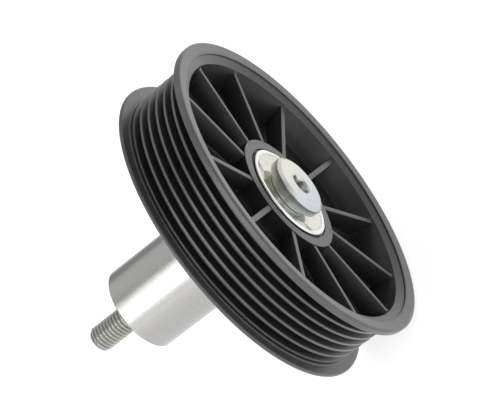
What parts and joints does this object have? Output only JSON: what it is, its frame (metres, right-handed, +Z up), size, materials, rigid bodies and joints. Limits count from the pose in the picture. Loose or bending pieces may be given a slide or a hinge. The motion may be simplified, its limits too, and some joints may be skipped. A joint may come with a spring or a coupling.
{
  "type": "ribbed belt idler pulley",
  "caption": "Grooved black nylon idler pulley with spokes on a sealed ball bearing, held by a long round spacer and a through bolt with a hexagon socket.",
  "frame": {"origin": "on the pulley's axis, in the plane of the spacer's end face, which seats on the engine", "axes": "+Y along the axis towards the engine, the way the bolt's thread points; -Y towards the bolt's head; +Z up; +X to the right when looking along +Y"},
  "size_m": [0.1212, 0.098, 0.1212],
  "materials": {
    "nylon": "moulded black glass-filled nylon, satin",
    "zinc_plate": "bright zinc-plated steel, slightly creamy",
    "aluminium": "fine-turned aluminium",
    "bearing_steel": "ground and polished bearing steel",
    "pressed_steel": "pressed mild steel sheet, matt",
    "seal_rubber": "black nitrile rubber"
  },
  "bodies": {
    "root": {"bearing_inner_ring": "bearing_steel", "dust_cap": "zinc_plate", "bolt": "zinc_plate", "spacer": "aluminium"},
    "rotor": {"pulley": "nylon", "bearing_outer_ring": "bearing_steel", "bearing_seal_front": "seal_rubber", "bearing_seal_rear": "seal_rubber"},
    "cage": {"cage_half_front": "pressed_steel", "cage_half_rear": "pressed_steel", "cage_rivet_1": "pressed_steel", "cage_rivet_2": "pressed_steel", "cage_rivet_3": "pressed_steel", "cage_rivet_4": "pressed_steel", "cage_rivet_5": "pressed_steel", "cage_rivet_6": "pressed_steel", "cage_rivet_7": "pressed_steel", "cage_rivet_8": "pressed_steel"},
    "ball_1": {"ball_1": "bearing_steel"},
    "ball_2": {"ball_2": "bearing_steel"},
    "ball_3": {"ball_3": "bearing_steel"},
    "ball_4": {"ball_4": "bearing_steel"},
    "ball_5": {"ball_5": "bearing_steel"},
    "ball_6": {"ball_6": "bearing_steel"},
    "ball_7": {"ball_7": "bearing_steel"},
    "ball_8": {"ball_8": "bearing_steel"}
  },
  "joints": [
    {"name": "pulley_spin", "type": "hinge", "parent": "root", "child": "rotor", "pos_m": [0, -0.06405, 0], "axis": [0, 1, 0], "continuous": true},
    {"name": "cage_orbit", "type": "hinge", "parent": "root", "child": "cage", "pos_m": [0, -0.06405, 0], "axis": [0, 1, 0], "continuous": true},
    {"name": "ball_1_roll", "type": "hinge", "parent": "cage", "child": "ball_1", "pos_m": [0.01425, -0.06405, 0], "axis": [0, 1, 0], "continuous": true},
    {"name": "ball_2_roll", "type": "hinge", "parent": "cage", "child": "ball_2", "pos_m": [0.01008, -0.06405, 0.01008], "axis": [0, 1, 0], "continuous": true},
    {"name": "ball_3_roll", "type": "hinge", "parent": "cage", "child": "ball_3", "pos_m": [0, -0.06405, 0.01425], "axis": [0, 1, 0], "continuous": true},
    {"name": "ball_4_roll", "type": "hinge", "parent": "cage", "child": "ball_4", "pos_m": [-0.01008, -0.06405, 0.01008], "axis": [0, 1, 0], "continuous": true},
    {"name": "ball_5_roll", "type": "hinge", "parent": "cage", "child": "ball_5", "pos_m": [-0.01425, -0.06405, 0], "axis": [0, 1, 0], "continuous": true},
    {"name": "ball_6_roll", "type": "hinge", "parent": "cage", "child": "ball_6", "pos_m": [-0.01008, -0.06405, -0.01008], "axis": [0, 1, 0], "continuous": true},
    {"name": "ball_7_roll", "type": "hinge", "parent": "cage", "child": "ball_7", "pos_m": [0, -0.06405, -0.01425], "axis": [0, 1, 0], "continuous": true},
    {"name": "ball_8_roll", "type": "hinge", "parent": "cage", "child": "ball_8", "pos_m": [0.01008, -0.06405, -0.01008], "axis": [0, 1, 0], "continuous": true}
  ],
  "couplings": [
    {"joint": "cage_orbit", "follows": "pulley_spin", "ratio": 0.61837},
    {"joint": "ball_1_roll", "follows": "pulley_spin", "ratio": 1.9937},
    {"joint": "ball_2_roll", "follows": "pulley_spin", "ratio": 1.9937},
    {"joint": "ball_3_roll", "follows": "pulley_spin", "ratio": 1.9937},
    {"joint": "ball_4_roll", "follows": "pulley_spin", "ratio": 1.9937},
    {"joint": "ball_5_roll", "follows": "pulley_spin", "ratio": 1.9937},
    {"joint": "ball_6_roll", "follows": "pulley_spin", "ratio": 1.9937},
    {"joint": "ball_7_roll", "follows": "pulley_spin", "ratio": 1.9937},
    {"joint": "ball_8_roll", "follows": "pulley_spin", "ratio": 1.9937}
  ]
}
